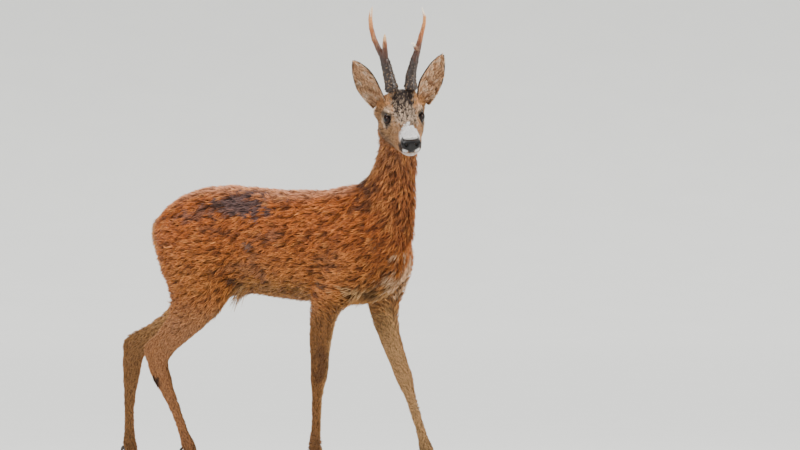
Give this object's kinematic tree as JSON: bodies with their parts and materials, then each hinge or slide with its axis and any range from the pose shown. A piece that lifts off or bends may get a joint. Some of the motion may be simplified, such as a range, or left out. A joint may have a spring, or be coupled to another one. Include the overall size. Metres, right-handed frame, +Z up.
{
  "type": "roe deer model",
  "caption": "Still life-size roebuck in red summer coat, in mid-stride, head turned to its right, with short forked antlers.",
  "frame": {"origin": "on the floor, under the middle of the whole animal's bounding box", "axes": "+X along the trunk towards the chest, +Y to the animal's left, +Z up"},
  "size_m": [0.9544, 0.2878, 1.1214],
  "materials": {
    "coat": "short red-brown hair over hide",
    "ear": "thin skin with grey-brown hair, dark edge, pale inside",
    "antler": "dark brown pearled bone",
    "antler_tip": "smooth polished bone, ivory at the points",
    "hoof": "black keratin, satin",
    "nose": "black moist skin, finely pebbled",
    "eye": "dark brown, wet gloss"
  },
  "bodies": {
    "root": {"antler_left_beam": "antler", "antler_left_tine": "antler_tip", "antler_left_tip": "antler_tip", "antler_right_beam": "antler", "antler_right_tine": "antler_tip", "antler_right_tip": "antler_tip", "dewclaw_fore_left_left": "hoof", "dewclaw_fore_left_right": "hoof", "dewclaw_fore_right_left": "hoof", "dewclaw_fore_right_right": "hoof", "dewclaw_hind_left_left": "hoof", "dewclaw_hind_left_right": "hoof", "dewclaw_hind_right_left": "hoof", "dewclaw_hind_right_right": "hoof", "ear_left": "ear", "ear_right": "ear", "eye_left": "eye", "eye_right": "eye", "foreleg_left": "coat", "foreleg_right": "coat", "head": "coat", "hindleg_left": "coat", "hindleg_right": "coat", "hoof_fore_left_left": "hoof", "hoof_fore_left_right": "hoof", "hoof_fore_right_left": "hoof", "hoof_fore_right_right": "hoof", "hoof_hind_left_left": "hoof", "hoof_hind_left_right": "hoof", "hoof_hind_right_left": "hoof", "hoof_hind_right_right": "hoof", "neck": "coat", "nose": "nose", "tail": "coat", "trunk": "coat"}
  },
  "joints": []
}
